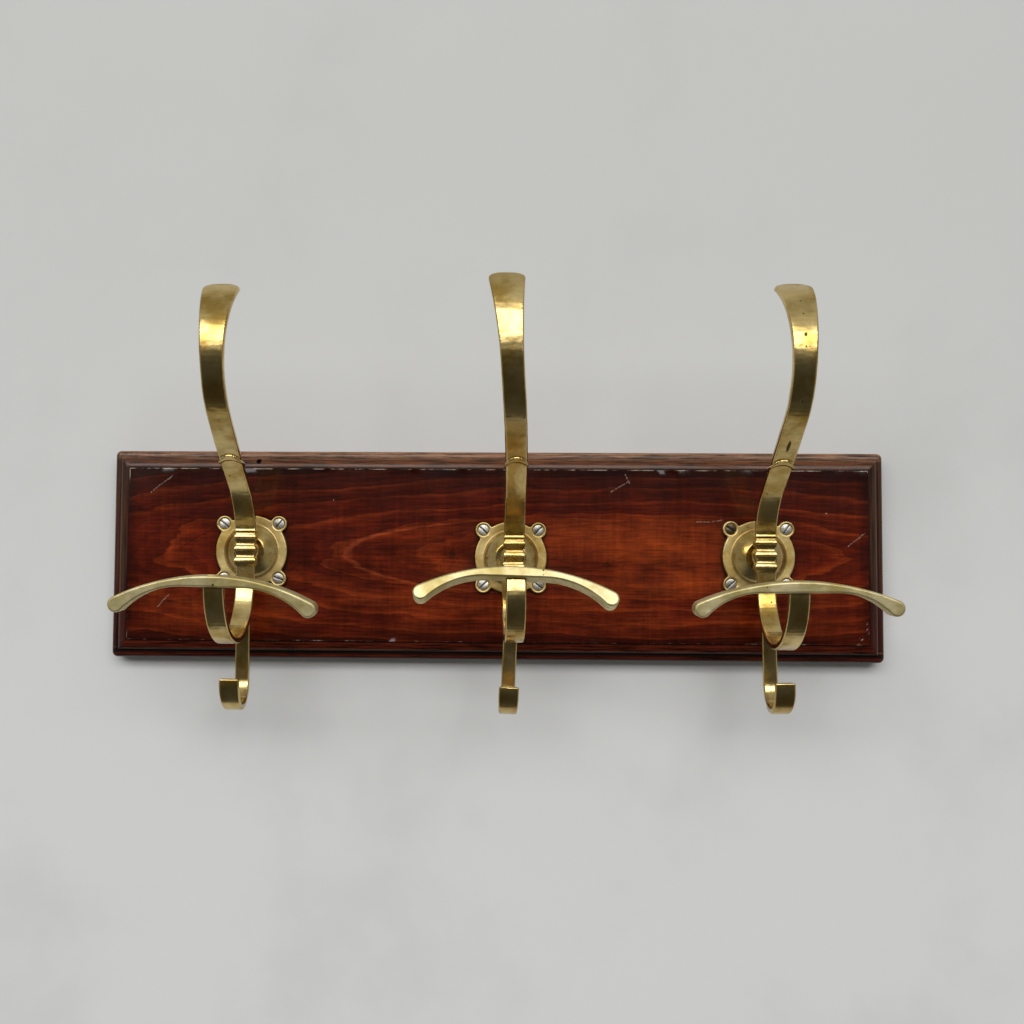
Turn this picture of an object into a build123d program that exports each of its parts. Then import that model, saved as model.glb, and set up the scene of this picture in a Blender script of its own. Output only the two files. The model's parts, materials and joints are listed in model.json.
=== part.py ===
from build123d import *
import os
from dataclasses import dataclass
from math import asin, copysign, cos, degrees, hypot, radians, sin

# Wall coat rack: a moulded hardwood board that carries three brass hat-and-coat hooks.
# Millimetres. The board's back lies on the wall at y = 0, its front faces -Y, +X is right and +Z is up.
# The origin is the middle of the board's back. "Out" is the distance in front of the board's raised panel.

os.makedirs("parts", exist_ok=True)

# Backboard: a nosed outer ledge, an upright, an ovolo, a narrow quirk and a raised panel
BOARD_LENGTH = 500.0
BOARD_HEIGHT = 135.0
BOARD_CORNER_R = 3.5
LEDGE_THICKNESS = 14.0
LEDGE_WIDTH = 5.5
NOSING_R = 3.4
UPRIGHT_RISE = 2.4
OVOLO_WIDTH = 5.6
OVOLO_RISE = 2.6
QUIRK_WIDTH = 0.9
QUIRK_RISE = 1.0
PANEL_OUT = LEDGE_THICKNESS + UPRIGHT_RISE + OVOLO_RISE + QUIRK_RISE

# Keyhole slots routed in the back, to drop over two round-head wall screws
KEYHOLE_SPACING = 340.0
KEYHOLE_Z = 30.0
KEYHOLE_ENTRY_R = 4.5
KEYHOLE_NECK_R = 2.25
KEYHOLE_TRAVEL = 12.0
KEYHOLE_DEPTH = 9.0
KEYHOLE_LIP = 3.5

# Old nail hole in the top moulding
NAIL_HOLE_X = -154.0
NAIL_HOLE_BELOW_TOP = 7.3
NAIL_HOLE_R = 1.7
NAIL_HOLE_DEPTH = 6.0

# Roses: round plates with four screw lugs and a hollow dome
ROSE_R = 23.0
ROSE_THICKNESS = 3.0
LUG_CIRCLE_R = 24.8
LUG_R = 5.2
LUG_NECK_R = 1.2
LUG_COUNT = 4
DOME_R = 17.2
DOME_OUT = 10.0
DOME_FLAT_R = 9.6
DOME_WALL = 3.5
DOME_PLINTH = 0.5
HOLLOW_R = 11.5

# Slotted countersunk wood screws
SCREW_HEAD_R = 3.4
SCREW_SHANK_R = 1.75
SCREW_LENGTH = 16.0
SCREW_SLOT_WIDTH = 0.8
SCREW_SLOT_DEPTH = 0.8
COUNTERSINK_R = 4.0
SHANK_CLEARANCE = 0.15
PILOT_CLEARANCE = 0.05
SEAT_CLEARANCE = 0.03
COUNTERSINK_ANGLE = 90.0
SCREW_HEAD_OUT = ROSE_THICKNESS - (COUNTERSINK_R - SCREW_HEAD_R) + SEAT_CLEARANCE
# Slot directions on the left, centre and right rose, from the upper right lug round by the upper left one
SCREW_TURNS = ((52.0, 140.0, 20.0, 158.0), (45.0, 138.0, 45.0, 140.0), (55.0, 147.0, 42.0, 5.0))

# Hook: stud, shoulder, neck and a collar of reeds under a thin cap
STUD_R = 4.0
STUD_CLEARANCE = 0.05
PEENED_R = 7.0
PEENED_HEIGHT = 2.4
SHOULDER_R = 6.8
SHOULDER_HEIGHT = 2.6
SHOULDER_EDGE = 1.2
NECK_R = 4.9
SPINE_OUT = 21.0
SPINE_WIDTH = 11.7
STRIP_THICKNESS = 4.0
STRIP_EDGE = 0.7
REED_COUNT = 3
REED_PITCH = 7.4
REED_HEIGHT = 5.9
REED_PROUD = 1.1
REED_MID_Z = 1.0
REED_BACK = 1.5
CAP_HEIGHT = 2.4
CAP_PROUD = 0.8

# Hat arm: a swan neck that flares to a rounded tip, with a bowed bead part of the way up
ARM_FOOT_Z = 8.0
ARM_WIDTH = 13.2
ARM_TIP_WIDTH = 21.5
TIP_CORNER_R = 3.0
TIP_BOW = 0.9
ARM_FLARE_HEIGHT = 56.0
ARM_SLOPE = 38.0
ARM_FOOT_BEND_R = 40.0
ARM_STRAIGHT = 62.0
BEAD_ALONG_STRAIGHT = 22.5
BEAD_PROUD = 1.1
BEAD_OVERHANG = 0.4
BEAD_BOW = 2.2
BEAD_MID_HEIGHT = 2.4
BEAD_END_HEIGHT = 1.4

# Coat arm: part of a circle under the collar, with a tenon for the crossbar
COAT_ARM_R = 34.0
TENON_WIDTH = 7.0
TENON_THICKNESS = 2.4
TENON_PROUD = 0.3
MORTISE_CLEARANCE = 0.1

# Crossbar: a hanger shape with drooping round ends
BAR_LENGTH = 117.0
BAR_MID_HEIGHT = 6.7
BAR_DEPTH = 10.0
BAR_END_R = 4.6
BAR_END_DROP = 14.2
BAR_UNDER_TURN = 45.0
BAR_EDGE = 0.8

# Small lower hook
TAIL_TOP_Z = -34.0
TAIL_WIDTH = 8.7
TAIL_LIP_WIDTH = 12.2
TAIL_THICKNESS = 3.6
TAIL_OUT = 22.6
TAIL_CUP_R = 16.0
TAIL_CUP_Z = -78.3
TAIL_LIP_RISE = 2.5

# Headings in a side view, in degrees
UPRIGHT = 90.0
DOWNWARD = -90.0
HALF_TURN = 180.0

# Bends of the hat arm above its straight, each as a radius and an angle
ARM_CURL_R = 45.0
ARM_OPENED_CURL_R = 72.0
ARM_CURLED = ((ARM_CURL_R, 107.0),)
ARM_CURLED_FURTHER = ((ARM_CURL_R, 114.0),)
ARM_OPENED = ((ARM_CURL_R, 37.0), (ARM_OPENED_CURL_R, 46.5))

# Left hook
LEFT_ROSE_FROM_END = 93.0
LEFT_ROSE_Z = 1.9
LEFT_CASTING_SIDE = 0.8
LEFT_ARM_BEAD_SIDE = -1.5
LEFT_ARM_TIP_SIDE = -0.8
LEFT_COAT_ARM_R = 34.8
LEFT_COAT_ARM_Z = -18.2
LEFT_TAIL_SIDE = -0.5

# Centre hook, with its hat arm bent to one side and its coat arm and lower hook closed up
CENTRE_ROSE_X = 10.0
CENTRE_ROSE_Z = -1.3
CENTRE_CASTING_SIDE = 1.8
CENTRE_ARM_BEAD_SIDE = 0.3
CENTRE_ARM_TIP_SIDE = -6.5
CENTRE_BEAD_ALONG = 26.2
CENTRE_COAT_ARM_SIDE = -1.8
CENTRE_COAT_ARM_R = 26.5
CENTRE_COAT_ARM_Z = -22.0
CENTRE_TAIL_CUP_R = 14.6
CENTRE_TAIL_CUP_Z = -77.7
CENTRE_TAIL_SIDE = -1.7
CENTRE_TAIL_LIP_RISE = 1.5

# Right hook
RIGHT_ROSE_FROM_END = 82.3
RIGHT_ROSE_Z = 0.2
RIGHT_CASTING_SIDE = -0.8
RIGHT_ARM_BEAD_SIDE = 0.8
RIGHT_ARM_TIP_SIDE = 0.8
RIGHT_COAT_ARM_SIDE = 0.5
RIGHT_COAT_ARM_Z = -18.4
RIGHT_BAR_LENGTH = 114.8
RIGHT_BAR_END_DROP = 11.9
RIGHT_BAR_SIDE = -1.0
RIGHT_TAIL_CUP_Z = -76.0
RIGHT_TAIL_SIDE = 1.0


@dataclass(frozen=True)
class HookSet:
    """One hook with its rose and bar: where it stands on the board and how it has been bent.

    The casting stands a little to one side of its rose's middle. Its arms stand to one side of that:
    the hat arm by one distance at the bead and by another at the tip.
    """

    name: str
    rose_x: float
    rose_z: float
    casting_side: float
    coat_arm_z: float
    arm_bends: tuple = ARM_CURLED
    arm_bead_side: float = 0.0
    arm_tip_side: float = 0.0
    bead_along: float = BEAD_ALONG_STRAIGHT
    coat_arm_side: float = 0.0
    coat_arm_turn: float = 0.0
    coat_arm_r: float = COAT_ARM_R
    coat_arm_curl: float = 0.0
    bar_length: float = BAR_LENGTH
    bar_end_drop: float = BAR_END_DROP
    bar_side: float = 0.0
    bar_roll: float = 0.0
    tail_side: float = 0.0
    tail_lean: float = 0.0
    tail_cup_r: float = TAIL_CUP_R
    tail_cup_z: float = TAIL_CUP_Z
    tail_lip_rise: float = TAIL_LIP_RISE


HOOKS = (
    HookSet(
        name="left",
        rose_x=LEFT_ROSE_FROM_END - BOARD_LENGTH / 2,
        rose_z=LEFT_ROSE_Z,
        casting_side=LEFT_CASTING_SIDE,
        arm_bead_side=LEFT_ARM_BEAD_SIDE,
        arm_tip_side=LEFT_ARM_TIP_SIDE,
        coat_arm_turn=-0.8,
        coat_arm_r=LEFT_COAT_ARM_R,
        coat_arm_z=LEFT_COAT_ARM_Z,
        coat_arm_curl=-4.0,
        bar_roll=1.2,
        tail_side=LEFT_TAIL_SIDE,
    ),
    HookSet(
        name="centre",
        rose_x=CENTRE_ROSE_X,
        rose_z=CENTRE_ROSE_Z,
        casting_side=CENTRE_CASTING_SIDE,
        arm_bends=ARM_OPENED,
        arm_bead_side=CENTRE_ARM_BEAD_SIDE,
        arm_tip_side=CENTRE_ARM_TIP_SIDE,
        bead_along=CENTRE_BEAD_ALONG,
        coat_arm_side=CENTRE_COAT_ARM_SIDE,
        coat_arm_turn=2.0,
        coat_arm_r=CENTRE_COAT_ARM_R,
        coat_arm_z=CENTRE_COAT_ARM_Z,
        coat_arm_curl=21.0,
        bar_roll=1.8,
        tail_side=CENTRE_TAIL_SIDE,
        tail_lean=2.3,
        tail_cup_r=CENTRE_TAIL_CUP_R,
        tail_cup_z=CENTRE_TAIL_CUP_Z,
        tail_lip_rise=CENTRE_TAIL_LIP_RISE,
    ),
    HookSet(
        name="right",
        rose_x=BOARD_LENGTH / 2 - RIGHT_ROSE_FROM_END,
        rose_z=RIGHT_ROSE_Z,
        casting_side=RIGHT_CASTING_SIDE,
        arm_bends=ARM_CURLED_FURTHER,
        arm_bead_side=RIGHT_ARM_BEAD_SIDE,
        arm_tip_side=RIGHT_ARM_TIP_SIDE,
        coat_arm_side=RIGHT_COAT_ARM_SIDE,
        coat_arm_z=RIGHT_COAT_ARM_Z,
        coat_arm_curl=-2.7,
        bar_length=RIGHT_BAR_LENGTH,
        bar_end_drop=RIGHT_BAR_END_DROP,
        bar_side=RIGHT_BAR_SIDE,
        bar_roll=-0.7,
        tail_side=RIGHT_TAIL_SIDE,
        tail_lean=-1.5,
        tail_cup_z=RIGHT_TAIL_CUP_Z,
    ),
)

OUT = Vector(0, -1, 0)
RIGHT = Vector(1, 0, 0)
UP = Vector(0, 0, 1)


def at(hook, out, up, side=0.0):
    """Point at a distance out from the panel, up from the rose's middle and to the right of it."""
    return Vector(hook.rose_x + side, -(PANEL_OUT + out), hook.rose_z + up)


def on_casting(hook, out, up, side=0.0):
    """Point beside the middle of the hook's casting, which may stand to one side of the rose."""
    return at(hook, out, up, hook.casting_side + side)


def facing_out(origin):
    """Plane parallel to the board, seen from the front."""
    return Plane(origin=origin, x_dir=RIGHT, z_dir=OUT)


def lug_places():
    """Lug centres round a rose, on its diagonals."""
    return PolarLocations(LUG_CIRCLE_R, LUG_COUNT, start_angle=HALF_TURN / LUG_COUNT)


def raised_section(plane, span):
    """Half section of the board's raised part across one span, mirrored to both moulded edges."""
    ledge_end = span / 2 - LEDGE_WIDTH
    ovolo_end = ledge_end - OVOLO_WIDTH
    panel_end = ovolo_end - QUIRK_WIDTH
    upright_top = LEDGE_THICKNESS + UPRIGHT_RISE
    ovolo_top = upright_top + OVOLO_RISE
    with BuildSketch(plane) as section:
        with BuildLine():
            Polyline((0, 0), (ledge_end, 0), (ledge_end, upright_top))
            TangentArc((ovolo_end, ovolo_top), (ledge_end, upright_top), tangent=(1, 0))
            Line((ovolo_end, ovolo_top), (panel_end, ovolo_top))
            Polyline((panel_end, ovolo_top), (panel_end, PANEL_OUT), (0, PANEL_OUT), (0, 0))
        make_face()
        mirror(about=Plane(plane.origin, x_dir=plane.y_dir, z_dir=plane.x_dir))
    return section.sketch


def keyhole_slots(half_width):
    """Upright slots of one width, from each keyhole's entry up to where the wall screw comes to rest."""
    with BuildSketch() as slots:
        with GridLocations(KEYHOLE_SPACING, 0, 2, 1):
            with Locations((0, KEYHOLE_TRAVEL / 2)):
                SlotCenterToCenter(KEYHOLE_TRAVEL, 2 * half_width, rotation=UPRIGHT)
    return slots.sketch


def build_backboard():
    """Board with its moulded edge, keyholes, pilot holes and old nail hole."""
    across = Plane(origin=(0, 0, 0), x_dir=UP, z_dir=RIGHT)
    along = Plane(origin=(0, 0, 0), x_dir=RIGHT, z_dir=-UP)
    with BuildPart() as raised:
        extrude(raised_section(across, BOARD_HEIGHT), amount=BOARD_LENGTH / 2, both=True)
        extrude(raised_section(along, BOARD_LENGTH), amount=BOARD_HEIGHT / 2, both=True, mode=Mode.INTERSECT)
    with BuildPart() as board:
        with BuildSketch(facing_out((0, 0, 0))):
            RectangleRounded(BOARD_LENGTH, BOARD_HEIGHT, BOARD_CORNER_R)
        extrude(amount=LEDGE_THICKNESS)
        fillet(board.faces().sort_by(Axis.Y)[0].edges(), NOSING_R)
        add(raised.part)
        with BuildSketch(facing_out((0, 0, KEYHOLE_Z))):
            add(keyhole_slots(KEYHOLE_NECK_R))
            with GridLocations(KEYHOLE_SPACING, 0, 2, 1):
                Circle(KEYHOLE_ENTRY_R)
        extrude(amount=KEYHOLE_DEPTH, mode=Mode.SUBTRACT)
        with BuildSketch(facing_out((0, -KEYHOLE_LIP, KEYHOLE_Z))):
            add(keyhole_slots(KEYHOLE_ENTRY_R))
        extrude(amount=KEYHOLE_DEPTH - KEYHOLE_LIP, mode=Mode.SUBTRACT)
        for hook in HOOKS:
            with BuildSketch(facing_out(at(hook, 0, 0))):
                with lug_places():
                    Circle(SCREW_SHANK_R + PILOT_CLEARANCE)
            extrude(amount=-(SCREW_LENGTH - SCREW_HEAD_OUT + SEAT_CLEARANCE), mode=Mode.SUBTRACT)
        nail_place = (NAIL_HOLE_X, -PANEL_OUT, BOARD_HEIGHT / 2 - NAIL_HOLE_BELOW_TOP)
        with BuildSketch(facing_out(nail_place)):
            Circle(NAIL_HOLE_R)
        extrude(amount=-NAIL_HOLE_DEPTH, mode=Mode.SUBTRACT)
    return board.part


def build_rose(hook):
    """Plate with lugs, ring line and hollow dome, countersunk for its screws and bored for the stud."""
    face = facing_out(at(hook, 0, 0))
    turned = Plane(origin=at(hook, 0, 0), x_dir=RIGHT, z_dir=-UP)
    plinth_out = ROSE_THICKNESS + DOME_PLINTH
    dome_rise = DOME_OUT - plinth_out
    dome_centre_out = (DOME_FLAT_R**2 + DOME_OUT**2 - DOME_R**2 - plinth_out**2) / (2 * dome_rise)
    dome_sphere_r = hypot(DOME_R, plinth_out - dome_centre_out)
    with BuildPart() as rose:
        with BuildSketch(face) as plate:
            Circle(ROSE_R)
            with lug_places():
                Circle(LUG_R)
            fillet(plate.vertices(), LUG_NECK_R)
        extrude(amount=ROSE_THICKNESS)
        with BuildSketch(turned):
            with BuildLine():
                Polyline((0, 0), (DOME_R, 0), (DOME_R, plinth_out))
                RadiusArc((DOME_R, plinth_out), (DOME_FLAT_R, DOME_OUT), -dome_sphere_r)
                Polyline((DOME_FLAT_R, DOME_OUT), (0, DOME_OUT), (0, 0))
            make_face()
        revolve(axis=Axis(at(hook, 0, 0), OUT))
        with BuildSketch(face):
            Circle(HOLLOW_R)
        extrude(amount=DOME_OUT - DOME_WALL, mode=Mode.SUBTRACT)
        with Locations(face.offset(DOME_OUT)):
            Hole(STUD_R + STUD_CLEARANCE, depth=DOME_OUT)
        with Locations(face.offset(ROSE_THICKNESS)):
            with lug_places():
                shank_hole_r = SCREW_SHANK_R + SHANK_CLEARANCE
                CounterSinkHole(shank_hole_r, COUNTERSINK_R, ROSE_THICKNESS, COUNTERSINK_ANGLE)
    return rose.part


def build_screw(hook, index, turn):
    """One slotted countersunk wood screw, its head sunk in the lug's countersink."""
    angle = radians(HALF_TURN / LUG_COUNT * (2 * index + 1))
    head_height = SCREW_HEAD_R - SCREW_SHANK_R
    place = at(hook, SCREW_HEAD_OUT, LUG_CIRCLE_R * sin(angle), LUG_CIRCLE_R * cos(angle))
    with BuildPart() as screw:
        with BuildSketch(Plane(origin=place, x_dir=RIGHT, z_dir=-UP)):
            with BuildLine():
                Polyline(
                    (0, 0),
                    (SCREW_HEAD_R, 0),
                    (SCREW_SHANK_R, -head_height),
                    (SCREW_SHANK_R, -SCREW_LENGTH),
                    (0, -SCREW_LENGTH),
                    close=True,
                )
            make_face()
        revolve(axis=Axis(place, OUT))
        with BuildSketch(facing_out(place)):
            Rectangle(3 * SCREW_HEAD_R, SCREW_SLOT_WIDTH, rotation=turn)
        extrude(amount=-SCREW_SLOT_DEPTH, mode=Mode.SUBTRACT)
    return screw.part


def seen_from_the_side(hook):
    """Plane across the board through the casting's middle, measured out from the panel and up."""
    return Plane(origin=on_casting(hook, 0, 0), x_dir=OUT, z_dir=-RIGHT)


def follow(start, heading, bends):
    """Chain of straights and bends in one BuildLine.

    A bend is (length, 0) for a straight, or (radius, angle) with a positive angle to the left.
    Returns the chain's last point and its heading in degrees.
    """
    place = Vector(*start)
    for size, angle in bends:
        if angle:
            arc = JernArc(place, (cos(radians(heading)), sin(radians(heading))), size, angle)
            place, heading = arc @ 1, heading + angle
        else:
            place = PolarLine(place, size, heading) @ 1
    return place, heading


def bent_strip(start, heading, bends, thickness):
    """Side view of a strip that is bent along a centre line."""
    turned = radians(heading)
    to_left = Vector(-sin(turned), cos(turned)) * (thickness / 2)
    with BuildSketch() as strip:
        with BuildLine():
            ends = []
            for side in (1, -1):
                beside = []
                for size, angle in bends:
                    shift = side * copysign(thickness / 2, angle) if angle else 0.0
                    beside.append((size - shift, angle))
                ends.append(follow(Vector(*start) + to_left * side, heading, beside)[0])
            Line(Vector(*start) + to_left, Vector(*start) - to_left)
            Line(*ends)
        make_face()
    return strip.sketch


def hat_arm_bends(hook):
    """Bends of the hat arm from its upright foot to its tip."""
    return ((ARM_FOOT_BEND_R, ARM_SLOPE - UPRIGHT), (ARM_STRAIGHT, 0)) + hook.arm_bends


def hat_arm_strip(hook, thickness):
    """Side view of the hat arm, of some thickness."""
    return bent_strip((SPINE_OUT, ARM_FOOT_Z), UPRIGHT, hat_arm_bends(hook), thickness)


def hat_arm_reach(hook):
    """Distance from the panel that the hat arm never passes."""
    return SPINE_OUT + STRIP_THICKNESS + sum(size for size, angle in hat_arm_bends(hook))


def hat_arm_point(bends):
    """Place as (out, up) and heading at the end of some of the hat arm's bends."""
    with BuildLine():
        return follow((SPINE_OUT, ARM_FOOT_Z), UPRIGHT, bends)


def build_bead(hook, middle_side, low):
    """Bead that bows up across the hat arm and stands proud of it on both faces."""
    half = ARM_WIDTH / 2 + BEAD_OVERHANG
    left, right = middle_side - half, middle_side + half
    with BuildPart() as bead:
        with BuildSketch(seen_from_the_side(hook)):
            add(hat_arm_strip(hook, STRIP_THICKNESS + 2 * BEAD_PROUD))
        extrude(amount=ARM_TIP_WIDTH, both=True)
        with BuildSketch(facing_out(on_casting(hook, 0, 0))):
            with BuildLine():
                ThreePointArc((left, low), (middle_side, low + BEAD_BOW), (right, low))
                Line((right, low), (right, low + BEAD_END_HEIGHT))
                crown = (middle_side, low + BEAD_BOW + BEAD_MID_HEIGHT)
                ThreePointArc((right, low + BEAD_END_HEIGHT), crown, (left, low + BEAD_END_HEIGHT))
                Line((left, low + BEAD_END_HEIGHT), (left, low))
            make_face()
        extrude(amount=hat_arm_reach(hook), mode=Mode.INTERSECT)
    return bead.part


def build_hat_arm(hook):
    """Swan-neck arm: its side view drawn through its front view, with softened edges and a bead."""
    foot_bend = hat_arm_bends(hook)[0]
    bead_place = hat_arm_point((foot_bend, (hook.bead_along, 0)))[0]
    tip_place, tip_heading = hat_arm_point(hat_arm_bends(hook))
    bead_side, tip_side = hook.arm_bead_side, hook.arm_tip_side
    tip_z = tip_place.Y + abs(cos(radians(tip_heading))) * STRIP_THICKNESS / 2
    flare_z = tip_z - ARM_FLARE_HEIGHT
    flare_share = (flare_z - bead_place.Y) / (tip_z - bead_place.Y)
    flare_side = bead_side + (tip_side - bead_side) * flare_share
    corner_z = tip_z - TIP_BOW
    with BuildPart() as arm:
        with BuildSketch(seen_from_the_side(hook)):
            add(hat_arm_strip(hook, STRIP_THICKNESS))
        extrude(amount=ARM_TIP_WIDTH, both=True)
        with BuildSketch(facing_out(on_casting(hook, 0, 0))) as front:
            with BuildLine():
                for hand in (1, -1):
                    half, tip_half = hand * ARM_WIDTH / 2, hand * ARM_TIP_WIDTH / 2
                    flare_start = Vector(flare_side + half, flare_z)
                    bead_edge = Vector(bead_side + half, bead_place.Y)
                    leaning = flare_start - bead_edge
                    Spline((half, ARM_FOOT_Z), bead_edge, flare_start, tangents=((0, 1), leaning))
                    TangentArc(flare_start, (tip_side + tip_half, corner_z), tangent=leaning)
                Line((-ARM_WIDTH / 2, ARM_FOOT_Z), (ARM_WIDTH / 2, ARM_FOOT_Z))
                tip_corners = [(tip_side + hand * ARM_TIP_WIDTH / 2, corner_z) for hand in (1, -1)]
                ThreePointArc(tip_corners[0], (tip_side, tip_z), tip_corners[1])
            make_face()
            fillet(front.vertices().sort_by(Axis.Y)[-2:], TIP_CORNER_R)
        extrude(amount=hat_arm_reach(hook), mode=Mode.INTERSECT)
        foot_top = hook.rose_z + ARM_FOOT_Z + STRIP_THICKNESS
        chamfer(arm.edges().filter_by(lambda edge: edge.center().Z > foot_top), STRIP_EDGE)
    with BuildPart() as beaded:
        add(arm.part)
        add(build_bead(hook, bead_side, bead_place.Y - (BEAD_BOW + BEAD_MID_HEIGHT) / 2))
    return beaded.part


def reeds_height():
    """Height of the reeds, from the lowest one to the highest."""
    return (REED_COUNT - 1) * REED_PITCH + REED_HEIGHT


def reeded_edge(edge):
    """Upward line of reeds and their cap, at a distance from the middle, each a round proud of it."""
    outward = copysign(1, edge)
    low = REED_MID_Z - reeds_height() / 2
    for step in range(REED_COUNT):
        foot = low + step * REED_PITCH
        head = foot + REED_HEIGHT
        ThreePointArc((edge, foot), (edge + outward * REED_PROUD, (foot + head) / 2), (edge, head))
        if step:
            Line((edge, head - REED_PITCH), (edge, foot))
    cap_foot = low + reeds_height()
    cap_head = cap_foot + CAP_HEIGHT
    ThreePointArc((edge, cap_foot), (edge + outward * CAP_PROUD, (cap_foot + cap_head) / 2), (edge, cap_head))


def build_collar(hook):
    """Stud, shoulder, neck and the reeded block that the arms spring from."""
    turned = Plane(origin=at(hook, 0, 0), x_dir=RIGHT, z_dir=-UP)
    inside = DOME_OUT - DOME_WALL
    shoulder_out = DOME_OUT + SHOULDER_HEIGHT
    front_out = SPINE_OUT + STRIP_THICKNESS / 2
    back_out = SPINE_OUT - STRIP_THICKNESS / 2 - REED_BACK
    half = SPINE_WIDTH / 2
    block_low = REED_MID_Z - reeds_height() / 2
    block_high = block_low + reeds_height() + CAP_HEIGHT
    with BuildPart() as reeds:
        with BuildSketch(seen_from_the_side(hook)):
            with BuildLine():
                reeded_edge(front_out)
                Polyline(
                    (front_out, block_high),
                    (back_out, block_high),
                    (back_out, block_low),
                    (front_out, block_low),
                )
            make_face()
        extrude(amount=SPINE_WIDTH, both=True)
        with BuildSketch(facing_out(on_casting(hook, 0, 0))):
            with BuildLine():
                reeded_edge(half)
                reeded_edge(-half)
                Line((-half, block_low), (half, block_low))
                Line((-half, block_high), (half, block_high))
            make_face()
        extrude(amount=front_out + REED_PROUD, mode=Mode.INTERSECT)
    with BuildPart() as collar:
        with BuildSketch(turned):
            with BuildLine():
                Polyline(
                    (0, inside - PEENED_HEIGHT),
                    (STUD_R, inside - PEENED_HEIGHT),
                    (PEENED_R, inside),
                    (STUD_R, inside),
                    (STUD_R, DOME_OUT),
                    (SHOULDER_R, DOME_OUT),
                    (SHOULDER_R, shoulder_out - SHOULDER_EDGE),
                    (SHOULDER_R - SHOULDER_EDGE, shoulder_out),
                    (NECK_R, shoulder_out),
                    (NECK_R, SPINE_OUT),
                    (0, SPINE_OUT),
                    close=True,
                )
            make_face()
        revolve(axis=Axis(at(hook, 0, 0), OUT))
        add(reeds.part)
    return collar.part


def coat_arm_side_view(hook):
    """Upright plane of the coat arm, measured forward from the spine and up from the rose's middle."""
    turn = radians(hook.coat_arm_turn)
    return Plane(
        origin=on_casting(hook, SPINE_OUT, 0, hook.coat_arm_side),
        x_dir=OUT * cos(turn) + RIGHT * sin(turn),
        z_dir=OUT * sin(turn) - RIGHT * cos(turn),
    )


def coat_arm_end(hook):
    """Plane across the end of the coat arm, where the crossbar sits."""
    side_view = coat_arm_side_view(hook)
    curl = radians(hook.coat_arm_curl)
    forward = hook.coat_arm_r * (1 + cos(curl))
    up = hook.coat_arm_z + hook.coat_arm_r * sin(curl)
    return Plane(
        origin=side_view.origin + side_view.x_dir * forward + UP * up,
        x_dir=-side_view.z_dir,
        z_dir=UP * cos(curl) - side_view.x_dir * sin(curl),
    )


def build_coat_arm(hook):
    """Spine below the collar, the round of the coat arm, and the tenon on its end."""
    bends = ((REED_MID_Z - hook.coat_arm_z, 0), (hook.coat_arm_r, HALF_TURN + hook.coat_arm_curl))
    with BuildPart() as arm:
        with BuildSketch(coat_arm_side_view(hook)):
            add(bent_strip((0, REED_MID_Z), DOWNWARD, bends, STRIP_THICKNESS))
        extrude(amount=SPINE_WIDTH / 2, both=True)
        cheeks = ShapeList([arm.faces().sort_by(Axis.X)[0], arm.faces().sort_by(Axis.X)[-1]])
        chamfer(cheeks.edges(), STRIP_EDGE)
        with BuildSketch(coat_arm_end(hook)):
            Rectangle(TENON_WIDTH, TENON_THICKNESS)
        extrude(amount=BAR_MID_HEIGHT + TENON_PROUD)
    return arm.part


def build_tail(hook):
    """Small hook below the coat arm: a bent strip that widens in plan from its back to its lip."""
    lean = radians(hook.tail_lean)
    leaning_right = RIGHT * cos(lean) - UP * sin(lean)
    leaning_up = UP * cos(lean) + RIGHT * sin(lean)
    root = on_casting(hook, 0, TAIL_TOP_Z, hook.tail_side)
    back = TAIL_OUT - TAIL_THICKNESS / 2
    front = TAIL_OUT + 2 * hook.tail_cup_r + TAIL_THICKNESS / 2
    drop = TAIL_TOP_Z - hook.tail_cup_z
    bends = ((drop, 0), (hook.tail_cup_r, HALF_TURN), (hook.tail_lip_rise, 0))
    with BuildPart() as tail:
        with BuildSketch(Plane(origin=root, x_dir=OUT, z_dir=-leaning_right)):
            add(bent_strip((TAIL_OUT, 0), DOWNWARD, bends, TAIL_THICKNESS))
        extrude(amount=TAIL_LIP_WIDTH, both=True)
        with BuildSketch(Plane(origin=root, x_dir=leaning_right, z_dir=-leaning_up)):
            with BuildLine():
                Polyline(
                    (-TAIL_WIDTH / 2, back),
                    (TAIL_WIDTH / 2, back),
                    (TAIL_LIP_WIDTH / 2, front),
                    (-TAIL_LIP_WIDTH / 2, front),
                    close=True,
                )
            make_face()
        extrude(amount=drop + hook.tail_cup_r + TAIL_THICKNESS, mode=Mode.INTERSECT)
        cheeks = ShapeList([tail.faces().sort_by(Axis.X)[0], tail.faces().sort_by(Axis.X)[-1]])
        chamfer(cheeks.edges(), STRIP_EDGE)
    return tail.part


def build_hook(hook):
    """Whole casting: hat arm, collar, coat arm and lower hook."""
    with BuildPart() as casting:
        add(build_collar(hook))
        add(build_coat_arm(hook))
        add(build_hat_arm(hook))
        add(build_tail(hook))
    return casting.part


def crossbar_bends(hook):
    """Outline of the bar from the middle of its underside round to where it started.

    The flat seat runs into a hollow, the hollow into the round end and the round end into the crown.
    """
    under = radians(BAR_UNDER_TURN)
    end_x = hook.bar_length / 2 - BAR_END_R
    crown_drop = hook.bar_end_drop + BAR_MID_HEIGHT / 2
    seat_drop = hook.bar_end_drop - BAR_MID_HEIGHT / 2
    crown_r = (end_x**2 + crown_drop**2 - BAR_END_R**2) / (2 * (crown_drop - BAR_END_R))
    crown_turn = degrees(asin(end_x / (crown_r - BAR_END_R)))
    under_r = (seat_drop + BAR_END_R * cos(under)) / (1 - cos(under))
    seat_half = end_x - (BAR_END_R + under_r) * sin(under)
    end_turn = HALF_TURN + BAR_UNDER_TURN - crown_turn
    half = ((seat_half, 0), (under_r, -BAR_UNDER_TURN), (BAR_END_R, end_turn), (crown_r, crown_turn))
    return half + half[::-1]


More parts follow.
